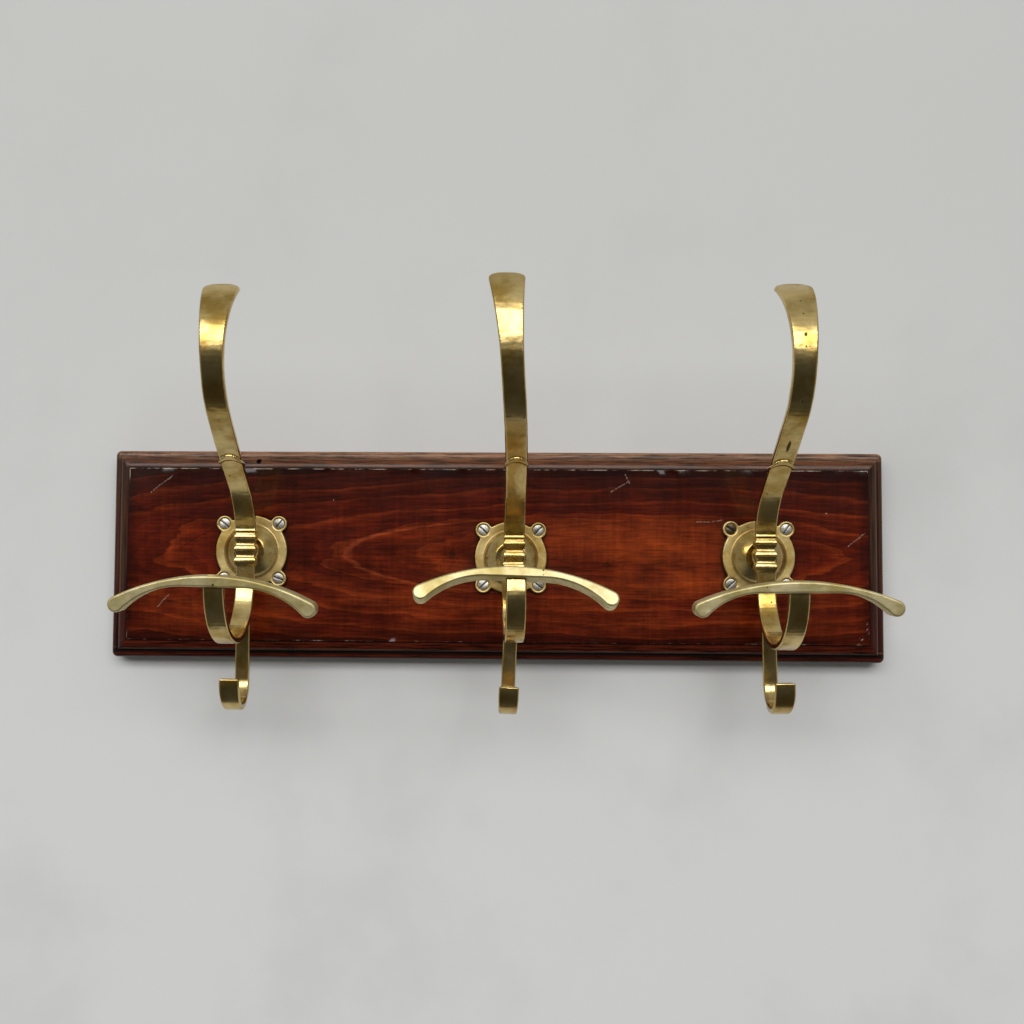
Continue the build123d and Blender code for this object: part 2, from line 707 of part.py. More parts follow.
def build_crossbar(hook):
    """Hanger-shaped bar, mortised for the tenon and let down on the coat arm's end."""
    end = coat_arm_end(hook)
    roll = radians(hook.bar_roll)
    front = end.x_dir.cross(end.z_dir)
    level = end.x_dir * cos(roll) - end.z_dir * sin(roll)
    middle = end.origin + end.z_dir * (BAR_MID_HEIGHT / 2) + end.x_dir * hook.bar_side
    with BuildPart() as bar:
        with BuildSketch(Plane(origin=middle, x_dir=level, z_dir=front)):
            with BuildLine():
                follow((0, -BAR_MID_HEIGHT / 2), 0, crossbar_bends(hook))
            make_face()
        extrude(amount=BAR_DEPTH / 2, both=True)
        chamfer(bar.faces().filter_by(Plane(middle, z_dir=front)).edges(), BAR_EDGE)
        with BuildSketch(end):
            Rectangle(TENON_WIDTH + 2 * MORTISE_CLEARANCE, TENON_THICKNESS + 2 * MORTISE_CLEARANCE)
        extrude(amount=2 * BAR_MID_HEIGHT, mode=Mode.SUBTRACT)
        with BuildSketch(end):
            Rectangle(SPINE_WIDTH + 2 * MORTISE_CLEARANCE, STRIP_THICKNESS + 2 * MORTISE_CLEARANCE)
        extrude(amount=-BAR_MID_HEIGHT, mode=Mode.SUBTRACT)
    return bar.part


def save(part, name):
    """Label a finished piece and write it as a file of that name."""
    part.label = name
    export_step(part, f"parts/{name}.step")


save(build_backboard(), "backboard")
screws = []
for hook_index, hook_set in enumerate(HOOKS):
    save(build_rose(hook_set), f"rose_{hook_set.name}")
    save(build_hook(hook_set), f"hook_{hook_set.name}")
    save(build_crossbar(hook_set), f"crossbar_{hook_set.name}")
    for lug_index in range(LUG_COUNT):
        screws.append(build_screw(hook_set, lug_index, SCREW_TURNS[hook_index][lug_index]))
save(Compound(children=screws), "rose_screws")
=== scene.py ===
"""Looks of a wall coat rack: a French-polished hardwood board that carries three brass hat-and-coat hooks.

Metres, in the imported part's own frame: the board's flat back is in the plane y = 0, the rack's front
faces -Y, +X is right and +Z is up.
"""

import json
import logging
from contextlib import contextmanager
from dataclasses import dataclass
from enum import Enum
from math import asin, cos, hypot, radians, sin
from typing import Any, Dict, Iterator, List, Optional, Sequence, Tuple, Union

import bmesh
import bpy
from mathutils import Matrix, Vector

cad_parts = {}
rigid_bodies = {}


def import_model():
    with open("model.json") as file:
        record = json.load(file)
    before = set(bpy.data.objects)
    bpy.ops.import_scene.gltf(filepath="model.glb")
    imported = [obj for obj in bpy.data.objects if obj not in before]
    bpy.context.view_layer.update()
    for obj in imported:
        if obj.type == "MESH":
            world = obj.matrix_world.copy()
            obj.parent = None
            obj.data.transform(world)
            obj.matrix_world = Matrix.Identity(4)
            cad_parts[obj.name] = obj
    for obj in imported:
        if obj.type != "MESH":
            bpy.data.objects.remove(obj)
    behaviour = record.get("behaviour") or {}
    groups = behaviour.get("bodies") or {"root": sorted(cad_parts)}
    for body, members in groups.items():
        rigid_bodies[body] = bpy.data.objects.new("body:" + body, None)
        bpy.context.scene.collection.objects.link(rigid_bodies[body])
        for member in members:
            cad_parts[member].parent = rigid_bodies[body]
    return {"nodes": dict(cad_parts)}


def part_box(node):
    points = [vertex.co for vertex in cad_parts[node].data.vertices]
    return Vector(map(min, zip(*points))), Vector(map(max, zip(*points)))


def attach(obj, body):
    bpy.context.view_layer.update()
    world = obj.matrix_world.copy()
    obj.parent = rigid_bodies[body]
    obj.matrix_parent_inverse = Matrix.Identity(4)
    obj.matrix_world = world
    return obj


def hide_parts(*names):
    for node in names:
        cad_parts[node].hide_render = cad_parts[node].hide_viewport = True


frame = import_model()

LOG = logging.getLogger("coat_rack")
MM = 0.001
BODY = "root"
WELD = 0.002 * MM
FLAT_ANGLE = radians(0.5)
CREASE_ANGLE = radians(30)
OPAQUE = 1.0
RECESS_SAMPLES = 4

Colour = Tuple[float, float, float, float]
Stops = Sequence[Tuple[float, Colour]]
Place = Tuple[float, float]
Fade = Tuple[float, float]
Triple = Tuple[float, float, float]

EVEN: Triple = (1.0, 1.0, 1.0)
FLAT: Triple = (1.0, 0.0, 1.0)
MIDDLE: Triple = (0.0, 0.0, 0.0)
RIGHT: Triple = (1.0, 0.0, 0.0)
UP: Triple = (0.0, 0.0, 1.0)


class Slot(Enum):
    """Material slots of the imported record."""

    MAHOGANY = "mahogany"
    BRASS = "brass"
    STEEL = "screw_steel"


class Hand(Enum):
    """The three hooks, as seen from the front."""

    LEFT = "left"
    CENTRE = "centre"
    RIGHT = "right"


class Polish(Enum):
    """Axis that the polishing lines of a brass piece follow, as scales of its pattern in X, Y and Z."""

    UPRIGHT = (1.0, 1.0, 0.06)
    SIDEWAYS = (0.05, 1.0, 1.0)
    ROUND = (1.0, 0.3, 1.0)


def srgb(red: int, green: int, blue: int) -> Colour:
    """Linear colour of an 8-bit screen colour.

    Args:
        red: Red level, 0 to 255.
        green: Green level, 0 to 255.
        blue: Blue level, 0 to 255.

    Returns:
        The colour as linear red, green, blue and full alpha.
    """
    levels = [value / 255 for value in (red, green, blue)]
    linear = [v / 12.92 if v <= 0.04045 else ((v + 0.055) / 1.055) ** 2.4 for v in levels]
    return (linear[0], linear[1], linear[2], OPAQUE)


class Socket:
    """An output of a node, whose arithmetic adds Math nodes to the same sheet."""

    def __init__(self, sheet: "Sheet", socket: bpy.types.NodeSocket) -> None:
        """Keep the socket and the sheet that it is on."""
        self.sheet = sheet
        self.socket = socket

    def output(self, name: str) -> "Socket":
        """Another output of the same node."""
        return Socket(self.sheet, self.socket.node.outputs[name])

    def math(self, operation: str, *values: "Value") -> "Socket":
        """Result of a Math node on this value and further ones."""
        inputs = dict(enumerate((self,) + values))
        return self.sheet.add("ShaderNodeMath", {"operation": operation}, inputs)

    def __add__(self, other: "Value") -> "Socket":
        """Sum."""
        return self.math("ADD", other)

    def __radd__(self, other: float) -> "Socket":
        """Sum with a number first."""
        return self.math("ADD", other)

    def __sub__(self, other: "Value") -> "Socket":
        """Difference."""
        return self.math("SUBTRACT", other)

    def __rsub__(self, other: float) -> "Socket":
        """Difference from a number."""
        return self.sheet.add("ShaderNodeMath", {"operation": "SUBTRACT"}, {0: other, 1: self})

    def __mul__(self, other: "Value") -> "Socket":
        """Product."""
        return self.math("MULTIPLY", other)

    def __rmul__(self, other: float) -> "Socket":
        """Product with a number first."""
        return self.math("MULTIPLY", other)

    def __truediv__(self, other: "Value") -> "Socket":
        """Quotient."""
        return self.math("DIVIDE", other)

    def __pow__(self, other: float) -> "Socket":
        """Power of a value that is not negative."""
        return self.math("POWER", other)

    def __abs__(self) -> "Socket":
        """Size without the sign."""
        return self.math("ABSOLUTE")

    def step(self, low: float, high: float) -> "Socket":
        """Smooth rise from 0 at one value to 1 at another, which may be the smaller one.

        Args:
            low: Value at which the result is 0.
            high: Value at which the result is 1.

        Returns:
            The eased value between 0 and 1.
        """
        edges = {"From Min": min(low, high), "From Max": max(low, high)}
        ends = {"To Min": float(low > high), "To Max": float(high > low)}
        kind = {"interpolation_type": "SMOOTHSTEP"}
        return self.sheet.add("ShaderNodeMapRange", kind, {"Value": self, **edges, **ends})

    def least(self, other: "Value") -> "Socket":
        """Smaller of two values."""
        return self.math("MINIMUM", other)

    def most(self, other: "Value") -> "Socket":
        """Larger of two values."""
        return self.math("MAXIMUM", other)

    def fraction(self) -> "Socket":
        """Part of the value after the point."""
        return self.math("FRACT")


Value = Union[Socket, float]
Tint = Union[Socket, Colour]


class Sheet:
    """The node tree of one material or world, filled through a single node-making method."""

    def __init__(self, tree: bpy.types.NodeTree) -> None:
        """Start from an empty tree."""
        self.tree = tree
        tree.nodes.clear()

    def add(
        self,
        kind: str,
        settings: Optional[Dict[str, Any]] = None,
        inputs: Optional[Dict[Any, Any]] = None,
        output: Union[int, str] = 0,
    ) -> Socket:
        """Add one node, with its settings first and then its socket values and links.

        Args:
            kind: Type name of the node.
            settings: Properties of the node; "stops" fills a colour ramp.
            inputs: Values or Sockets by input name or number.
            output: Output to hand back, by name or number.

        Returns:
            The chosen output of the new node.
        """
        node = self.tree.nodes.new(kind)
        for name, value in (settings or {}).items():
            if name == "stops":
                self._fill_ramp(node.color_ramp, value)
            else:
                setattr(node, name, value)
        for key, value in (inputs or {}).items():
            if isinstance(value, Socket):
                self.tree.links.new(value.socket, node.inputs[key])
            else:
                node.inputs[key].default_value = value
        return Socket(self, node.outputs[output]) if len(node.outputs) else None

    @staticmethod
    def _fill_ramp(ramp: bpy.types.ColorRamp, stops: Stops) -> None:
        """Give a colour ramp its stops."""
        while len(ramp.elements) < len(stops):
            ramp.elements.new(1.0)
        for element, (position, colour) in zip(ramp.elements, stops):
            element.position = position
            element.color = colour

    def axes(self, vector: Socket) -> Tuple[Socket, Socket, Socket]:
        """Three coordinates of a vector."""
        x = self.add("ShaderNodeSeparateXYZ", inputs={0: vector})
        return x, x.output("Y"), x.output("Z")

    def ramp(self, value: Socket, stops: Stops) -> Socket:
        """Colour of a value along a ramp."""
        return self.add("ShaderNodeValToRGB", {"stops": stops}, {0: value})

    def mix(self, factor: Value, first: Tint, second: Tint, blend: str = "MIX") -> Socket:
        """Blend of two colours.

        Args:
            factor: 0 for the first colour, 1 for the second one.
            first: Colour to start from.
            second: Colour to end at.
            blend: Blend type of the node.

        Returns:
            The blended colour.
        """
        settings = {"data_type": "RGBA", "blend_type": blend, "clamp_factor": True}
        return self.add("ShaderNodeMix", settings, {0: factor, 6: first, 7: second}, output=2)

    def shade(self, factor: Value, colour: Tint) -> Socket:
        """Colour made lighter or darker by a value around 1."""
        grey = self.add("ShaderNodeCombineColor", inputs={0: factor, 1: factor, 2: factor})
        return self.mix(1.0, colour, grey, "MULTIPLY")

    def recess(self, reach: float) -> Socket:
        """How closed in a place is: 0 in the open and 1 deep in a corner."""
        settings = {"samples": RECESS_SAMPLES, "only_local": False}
        return 1.0 - self.add("ShaderNodeAmbientOcclusion", settings, {"Distance": reach}, output="AO")

    def bump(self, height: Socket, depth: float, under: Optional[Socket] = None) -> Socket:
        """Normal of a surface that stands higher where a value is larger.

        Args:
            height: Value of the relief.
            depth: Height of the relief in metres.
            under: Normal of a coarser relief below it.

        Returns:
            The normal.
        """
        inputs: Dict[Any, Any] = {"Height": height, "Distance": depth, "Strength": 1.0}
        if under is not None:
            inputs["Normal"] = under
        return self.add("ShaderNodeBump", inputs=inputs)

    def finish(self, shader: Socket) -> None:
        """Send a shader to the material's output."""
        self.add("ShaderNodeOutputMaterial", inputs={"Surface": shader})


@dataclass(frozen=True)
class Noise:
    """Soft noise around one half.

    Attributes:
        scale: Lumps per metre.
        detail: Octaves.
        roughness: Strength of the finer octaves.
        run: Scales of the pattern in X, Y and Z, smallest in the direction that it runs in.
        turn: Turn of the pattern about Y in degrees.
    """

    scale: float
    detail: float = 2.0
    roughness: float = 0.5
    run: Triple = EVEN
    turn: float = 0.0


@dataclass(frozen=True)
class Flecks:
    """Scattered small marks, one in some of the cells of a pattern.

    Attributes:
        scale: Cells per metre.
        share: Share of the cells that hold a mark.
        size: Radius of a mark in cells.
        run: Scales of the pattern in X, Y and Z.
        turn: Turn of the pattern about Y in degrees.
    """

    scale: float
    share: float
    size: float
    run: Triple = EVEN
    turn: float = 0.0


class Where:
    """Place on a piece, in the frame's metres, and the patterns that can be read there."""

    def __init__(self, sheet: Sheet) -> None:
        """Read the place and its coordinates."""
        self.sheet = sheet
        self.point = sheet.add("ShaderNodeTexCoord", output="Object")
        self.x, self.y, self.z = sheet.axes(self.point)

    def normal(self) -> Tuple[Socket, Socket, Socket]:
        """Three coordinates of the surface's normal."""
        return self.sheet.axes(self.sheet.add("ShaderNodeNewGeometry", output="Normal"))

    def distance(self, place: Place) -> Socket:
        """Distance from a place in X and Z, along the wall."""
        off_x = self.x - place[0]
        off_z = self.z - place[1]
        return (off_x * off_x + off_z * off_z) ** 0.5

    def mapped(self, run: Triple, turn: float) -> Socket:
        """Place turned about Y and then scaled, so that a pattern runs in one direction.

        Args:
            run: Scales in X, Y and Z.
            turn: Turn about Y in degrees.

        Returns:
            The mapped place.
        """
        vector = self.point
        if turn:
            rotation = (0.0, radians(turn), 0.0)
            vector = self.sheet.add("ShaderNodeMapping", inputs={"Vector": vector, "Rotation": rotation})
        if run != EVEN:
            vector = self.sheet.add("ShaderNodeMapping", inputs={"Vector": vector, "Scale": run})
        return vector

    def noise(self, pattern: Noise) -> Socket:
        """Value of a noise at this place."""
        inputs = {
            "Vector": self.mapped(pattern.run, pattern.turn),
            "Scale": pattern.scale,
            "Detail": pattern.detail,
            "Roughness": pattern.roughness,
        }
        return self.sheet.add("ShaderNodeTexNoise", inputs=inputs)

    def flecks(self, pattern: Flecks) -> Socket:
        """1 in a fleck and 0 between them."""
        inputs = {"Vector": self.mapped(pattern.run, pattern.turn), "Scale": pattern.scale}
        cell = self.sheet.add("ShaderNodeTexVoronoi", inputs=inputs)
        chance = self.sheet.axes(cell.output("Color"))[0]
        return cell.step(pattern.size, pattern.size / 2) * chance.step(pattern.share, pattern.share / 2)


def new_material(name: str) -> Tuple[bpy.types.Material, Sheet]:
    """Empty node material.

    Args:
        name: Name of the material.

    Returns:
        The material and its node sheet.
    """
    material = bpy.data.materials.new(name)
    material.use_nodes = True
    return material, Sheet(material.node_tree)


@dataclass(frozen=True)
class Spot:
    """Ragged round mark on the board's face: its middle in X and Z, and its radius."""

    place: Place
    radius: float


@dataclass(frozen=True)
class Stroke:
    """Straight scratch on the board's face, with its ends in X and Z."""

    start: Place
    end: Place


@dataclass(frozen=True)
class Mahogany:
    """French-polished hardwood with a long pointed figure, worn arrises, scratches and a dull raw back."""

    panel_half: Place
    ledge_edge: float
    dark: Colour = srgb(60, 13, 5)
    red: Colour = srgb(93, 27, 8)
    orange: Colour = srgb(128, 50, 16)
    line: Colour = srgb(146, 66, 34)
    moulding: Colour = srgb(86, 48, 24)
    # Painted light: lighter colour of the top ledge, as if lit from above; it also paints a highlight line
    # above the bottom ledge.
    lit_ledge: Colour = srgb(126, 90, 66)
    # Lower moulding: redder where it keeps more polish, and darker as painted shade.
    redder_shaded_moulding: Colour = srgb(74, 24, 10)
    corner: Colour = srgb(48, 30, 22)
    worn: Colour = srgb(204, 184, 164)
    raw: Colour = srgb(120, 84, 58)
    # Dark colour for the real pores, knots and dark scratches, and for the painted shade in the quirk, in
    # recesses, under downward faces and on the bottom ledge below the moulding.
    grime_and_shade: Colour = srgb(12, 5, 3)
    fibre: Noise = Noise(760, 3, 0.65, run=(0.06, 1.0, 1.0))
    pores: Noise = Noise(1900, 2, 0.6, run=(0.06, 1.0, 1.0))
    ripple: Noise = Noise(330, 3, 0.6, run=(1.0, 1.0, 0.12))
    mottle: Noise = Noise(55, 4, 0.7, run=(0.35, 1.0, 1.0))
    upright: Noise = Noise(760, 3, 0.6, run=(1.0, 1.0, 0.03))
    wander: Noise = Noise(7, run=(1.0, 1.0, 2.2))
    ring_edge: Noise = Noise(300, 2, 0.6, run=(0.25, 1.0, 1.0))
    ring_pace: Noise = Noise(60, 2, 0.6, run=(0.3, 1.0, 1.0))
    patches: Noise = Noise(46, 4, 0.6, run=(0.3, 1.0, 1.0))
    spot_edge: Noise = Noise(380, 3, 0.6)
    stroke_wave: Noise = Noise(130)
    stroke_breaks: Noise = Noise(900)
    worn_places: Noise = Noise(110, 4, 0.65)
    worn_edge: Noise = Noise(800)
    clouds: Noise = Noise(45, 3)
    dust: Flecks = Flecks(95, 0.12, 0.05, run=FLAT)
    hairlines: Tuple[Flecks, ...] = (
        Flecks(85, 0.06, 0.06, run=(0.2, 0.0, 2.4), turn=32.0),
        Flecks(70, 0.06, 0.06, run=(0.2, 0.0, 2.4), turn=-48.0),
        Flecks(60, 0.06, 0.06, run=(0.2, 0.0, 2.4), turn=8.0),
    )
    chips: Flecks = Flecks(520, 0.6, 0.36, run=(0.6, 0.0, 1.6), turn=40.0)
    nicks: Flecks = Flecks(180, 0.2, 0.3, run=FLAT)
    figure_centre: Place = (90 * MM, 0.0)
    figure_slope: float = 0.14
    figure_wander: float = 10.0 * MM
    heart: float = 26.0 * MM
    heart_fade: float = 1.2 * MM
    ring_pitch: float = 8.0 * MM
    fine_pitch: float = 2.7 * MM
    ring_raggedness: float = 1.6 * MM
    glow_left: Fade = (-95 * MM, 30 * MM)
    glow_right: Fade = (205 * MM, 120 * MM)
    low_glow_top: Fade = (-10 * MM, -30 * MM)
    low_glow_bottom: Fade = (-56 * MM, -42 * MM)
    rim_width: Fade = (0.6 * MM, 0.1 * MM)
    rim_right: Fade = (20 * MM, -40 * MM)
    painted_top_shade: Fade = (54 * MM, 16 * MM)
    rim_shade: Fade = (0.0, 10 * MM)
    panel_edge: Fade = (-0.4 * MM, 0.2 * MM)
    quirk_outside: Fade = (-1.2 * MM, -0.8 * MM)
    quirk_inside: Fade = (0.0, -0.3 * MM)
    redder_and_shaded_below: Fade = (0.0, -45 * MM)
    mitre: Fade = (-0.2 * MM, 0.2 * MM)
    ledge_line: Fade = (-0.6 * MM, 0.4 * MM)
    # Band of painted shadow on the bottom ledge, just below the moulding.
    ledge_shadow_top: Fade = (-0.6 * MM, 0.2 * MM)
    ledge_shadow_bottom: Fade = (3.4 * MM, 1.8 * MM)
    lip_height: float = 1.0 * MM
    lip_width: Fade = (0.6 * MM, 0.2 * MM)
    worn_top: Fade = (40 * MM, 53 * MM)
    worn_bottom: Fade = (-40 * MM, -53 * MM)
    worn_left: Fade = (-228 * MM, -237 * MM)
    worn_inset: float = 0.1 * MM
    worn_raggedness: float = 0.7 * MM
    worn_width: Fade = (0.5 * MM, 0.15 * MM)
    chipped_from_end: Fade = (9 * MM, 2 * MM)
    chipped_below: Fade = (-38 * MM, -50 * MM)
    stroke_waviness: float = 3.0 * MM
    stroke_width: Fade = (0.55 * MM, 0.15 * MM)
    recess_reach: float = 6.0 * MM
    relief_depth: float = 0.012 * MM
    specular: float = 0.28
    coat: float = 0.2
    coat_roughness: float = 0.1
    knots: Tuple[Spot, ...] = (
        Spot((-28 * MM, 0.0), 10 * MM),
        Spot((73 * MM, -6 * MM), 7 * MM),
        Spot((-132 * MM, -62 * MM), 8 * MM),
    )
    dull_corner: Spot = Spot((-236 * MM, 54 * MM), 40 * MM)
    pale_strokes: Tuple[Stroke, ...] = (
        Stroke((-223.8 * MM, 39.5 * MM), (-209.8 * MM, 51.2 * MM)),
        Stroke((-218.0 * MM, -34.5 * MM), (-210.6 * MM, -26.0 * MM)),
        Stroke((74.2 * MM, 40.9 * MM), (85.7 * MM, 48.3 * MM)),
        Stroke((83.2 * MM, 52.5 * MM), (86.1 * MM, 46.7 * MM)),
        Stroke((128.8 * MM, 22.1 * MM), (145.1 * MM, 23.4 * MM)),
        Stroke((225.0 * MM, 7.3 * MM), (235.5 * MM, 15.5 * MM)),
    )
    dark_strokes: Tuple[Stroke, ...] = (
        Stroke((-204.8 * MM, 3.1 * MM), (-182.6 * MM, 16.4 * MM)),
        Stroke((-134.0 * MM, -11.8 * MM), (-123.3 * MM, -3.4 * MM)),
    )

    def build(self) -> bpy.types.Material:
        """Make the material and return it."""
        material, sheet = new_material("french_polished_mahogany")
        at = Where(sheet)
        fibre = at.noise(self.fibre)
        inset = (self.panel_half[0] - abs(at.x)).least(self.panel_half[1] - abs(at.z))
        on_panel = inset.step(*self.panel_edge)
        colour = self._panel(at, fibre, inset)
        colour = sheet.mix(on_panel, self._moulding(at, fibre), colour)
        # Painted shade: the quirk between the raised panel and the moulding is darkened as if in shadow.
        quirk = inset.step(*self.quirk_outside) * inset.step(*self.quirk_inside)
        colour = sheet.mix(quirk * 0.8, colour, self.grime_and_shade)
        colour = sheet.mix(at.noise(self.pores).step(0.36, 0.28) * 0.5, colour, self.grime_and_shade)
        for knot in self.knots:
            colour = sheet.mix(self._mark(at, knot) * 0.7, colour, self.grime_and_shade)
        colour = sheet.mix(self._mark(at, self.dull_corner) * 0.6, colour, self.corner)

        scratches = self._scratches(at) * on_panel
        wear = self._wear(at, inset)
        colour = sheet.mix(self._strokes(at, self.dark_strokes) * 0.6, colour, self.grime_and_shade)
        colour = sheet.mix(scratches.most(wear) * 0.8, colour, self.worn)
        # Painted shade: places that ambient occlusion finds closed in are darkened.
        colour = sheet.mix(sheet.recess(self.recess_reach).step(0.14, 0.55) * 0.94, colour, self.grime_and_shade)

        _, facing, upward = at.normal()
        # Painted shade: faces turned downward are darkened as if shadowed from the light above.
        colour = sheet.mix(upward.step(-0.45, -0.85) * 0.8, colour, self.grime_and_shade)
        back = facing.step(0.4, 0.7)
        colour = sheet.mix(back, colour, sheet.shade(0.55 + fibre * 0.9, self.raw))
        rough = 0.14 + at.noise(self.clouds) * 0.1 + (1.0 - on_panel) * 0.08 + scratches * 0.2 + back * 0.45
        shader = sheet.add(
            "ShaderNodeBsdfPrincipled",
            inputs={
                "Base Color": colour,
                "Roughness": rough,
                "Specular IOR Level": self.specular,
                "Coat Weight": on_panel * (1.0 - back) * (self.coat - wear * self.coat),
                "Coat Roughness": self.coat_roughness,
                "Normal": sheet.bump(fibre * 0.5, self.relief_depth),
            },
        )
        sheet.finish(shader)
        return material

    def _panel(self, at: Where, fibre: Socket, inset: Socket) -> Socket:
        """Wood of the raised panel: its figure, streaks and mottling, with painted shade at the top and
        darker along the rim.

        Args:
            at: Place on the board.
            fibre: Fine streaks along the board.
            inset: Distance inside the panel's edge.

        Returns:
            The colour of the panel.
        """
        weave = 0.2 + fibre.step(0.26, 0.76) * 0.7 + at.noise(self.ripple) * 0.9
        colour = at.sheet.shade(weave, self._figure(at))
        colour = at.sheet.shade(0.64 + at.noise(self.mottle).step(0.3, 0.7) * 0.68, colour)
        # Painted shade: the panel is darkened towards its top.
        colour = at.sheet.shade(0.5 + at.z.step(*self.painted_top_shade) * 0.5, colour)
        return at.sheet.shade(0.45 + inset.step(*self.rim_shade) * 0.55, colour)

    def _figure(self, at: Where) -> Socket:
        """Growth rings of a log that is cut at a slant, which meet in long points around a lighter heart.

        Args:
            at: Place on the board.

        Returns:
            The colour of the figure.
        """
        sheet = at.sheet
        across = at.z + (at.noise(self.wander) - 0.5) * self.figure_wander - self.figure_centre[1]
        along = (at.x - self.figure_centre[0]) * self.figure_slope
        ragged = (at.noise(self.ring_edge) - 0.5) * self.ring_raggedness
        radius = (across * across + along * along) ** 0.5 + ragged
        pace = at.noise(self.ring_pace)
        phase = (radius / self.ring_pitch + pace * 1.1).fraction()
        stops = (
            (0.0, self.dark),
            (0.35, self.dark),
            (0.75, self.red),
            (0.96, self.orange),
            (1.0, self.dark),
        )
        rings = sheet.mix(0.48, sheet.ramp(phase, stops), self.red)
        fine = (radius / self.fine_pitch + pace * 2.2).fraction()
        colour = sheet.shade(0.84 + fine * 0.32, rings)
        patches = at.noise(self.patches)
        inside = radius.step(self.heart, self.heart - self.heart_fade)
        glow = inside * at.x.step(*self.glow_left) * at.x.step(*self.glow_right) * patches.step(0.3, 0.68)
        colour = sheet.mix(glow * 0.9, colour, self.orange)
        low_band = at.z.step(*self.low_glow_top) * at.z.step(*self.low_glow_bottom)
        colour = sheet.mix(low_band * patches.step(0.42, 0.62) * 0.5, colour, self.orange)
        rim = abs(radius - self.heart).step(*self.rim_width) * at.x.step(*self.rim_right)
        return sheet.mix(rim * 0.55, colour, self.line)

    def _moulding(self, at: Where, fibre: Socket) -> Socket:
        """Browner wood of the moulded edge, whose grain follows each side of the board, with painted light
        on the top ledge and painted shade on the lower moulding and the bottom ledge.

        Args:
            at: Place on the board.
            fibre: Fine streaks along the board.

        Returns:
            The colour of the moulding.
        """
        sheet = at.sheet
        at_end = (abs(at.x) - self.panel_half[0] - abs(at.z) + self.panel_half[1]).step(*self.mitre)
        grain = fibre * (1.0 - at_end) + at.noise(self.upright) * at_end
        # Below the middle the moulding turns redder, where more polish is kept, and darker, which is painted
        # shade.
        brown = sheet.mix(at.z.step(*self.redder_and_shaded_below), self.moulding, self.redder_shaded_moulding)
        # Painted light: the top ledge gets the lighter lit colour.
        brown = sheet.mix((at.z - self.ledge_edge).step(*self.ledge_line), brown, self.lit_ledge)
        colour = sheet.shade((grain.step(0.3, 0.66) * 1.4 + 0.2) * (1.0 - at_end * 0.45), brown)
        drop = 0.0 - at.z - self.ledge_edge
        # Painted highlight: a light line just above the bottom ledge, in the lit ledge colour.
        lip = abs(drop + self.lip_height).step(*self.lip_width)
        colour = sheet.mix(lip * grain.step(0.35, 0.6) * 0.6, colour, self.lit_ledge)
        # Painted shadow: the bottom ledge's face just below the moulding is darkened as if shadowed by the
        # moulding.
        darkening = drop.step(*self.ledge_shadow_top) * drop.step(*self.ledge_shadow_bottom)
        return sheet.mix(darkening * 0.85, colour, self.grime_and_shade)

    def _mark(self, at: Where, spot: Spot) -> Socket:
        """Ragged spot, such as a pin knot or a dull patch.

        Args:
            at: Place on the board.
            spot: Middle and radius of the spot.

        Returns:
            1 in the spot and 0 around it.
        """
        return (at.distance(spot.place) / spot.radius + at.noise(self.spot_edge) * 1.6).step(1.6, 0.6)

    def _strokes(self, at: Where, strokes: Sequence[Stroke]) -> Socket:
        """Single scratches at given places, a little wavy and broken.

        Args:
            at: Place on the board.
            strokes: The scratches.

        Returns:
            1 on a scratch and 0 beside it.
        """
        wave = (at.noise(self.stroke_wave) - 0.5) * self.stroke_waviness
        marks: Value = 0.0
        for stroke in strokes:
            run_x = stroke.end[0] - stroke.start[0]
            run_z = stroke.end[1] - stroke.start[1]
            length = hypot(run_x, run_z)
            off_x = at.x - stroke.start[0]
            off_z = at.z - stroke.start[1] + wave
            along = off_x * (run_x / length) + off_z * (run_z / length)
            aside = abs(off_z * (run_x / length) - off_x * (run_z / length))
            beyond = (along - length).most(0.0 - along).most(0.0)
            marks = (aside + beyond).step(*self.stroke_width).most(marks)
        return at.noise(self.stroke_breaks).step(0.38, 0.56) * marks

    def _scratches(self, at: Where) -> Socket:
        """Pale scratches in a few directions, chips by the right-hand end and specks of dust.

        Args:
            at: Place on the board.

        Returns:
            1 on a mark and 0 between them.
        """
        marks = at.flecks(self.dust)
        for hairline in self.hairlines:
            marks = marks.most(at.flecks(hairline) * 0.5)
        by_end = (self.panel_half[0] - at.x).step(*self.chipped_from_end)
        corner = by_end * at.z.step(*self.chipped_below)
        chips = at.flecks(self.chips) * corner.most(at.flecks(self.nicks) * by_end)
        return marks.most(chips).most(self._strokes(at, self.pale_strokes) * 0.4)

    def _wear(self, at: Where, inset: Socket) -> Socket:
        """Polish that is rubbed through along the panel's arris, most of all at the top and the bottom.

        Args:
            at: Place on the board.
            inset: Distance inside the panel's edge.

        Returns:
            1 where the polish is gone.
        """
        top = at.z.step(*self.worn_top)
        bottom = at.z.step(*self.worn_bottom)
        exposed = top * 0.18 + bottom * 0.12 + at.x.step(*self.worn_left) * 0.04 - 0.14
        ragged = (at.noise(self.worn_edge) - 0.5) * self.worn_raggedness
        line = abs(inset - self.worn_inset + ragged).step(*self.worn_width)
        gone = (at.noise(self.worn_places) + exposed).step(0.5, 0.68)
        return line * gone * (0.15 + top * 0.75 + bottom * 0.35)


@dataclass(frozen=True)
class Flaw:
    """Small hole or inclusion on the front of a casting: its middle in X and Z, and half its sizes."""

    x: float
    z: float
    half_width: float
    half_height: float


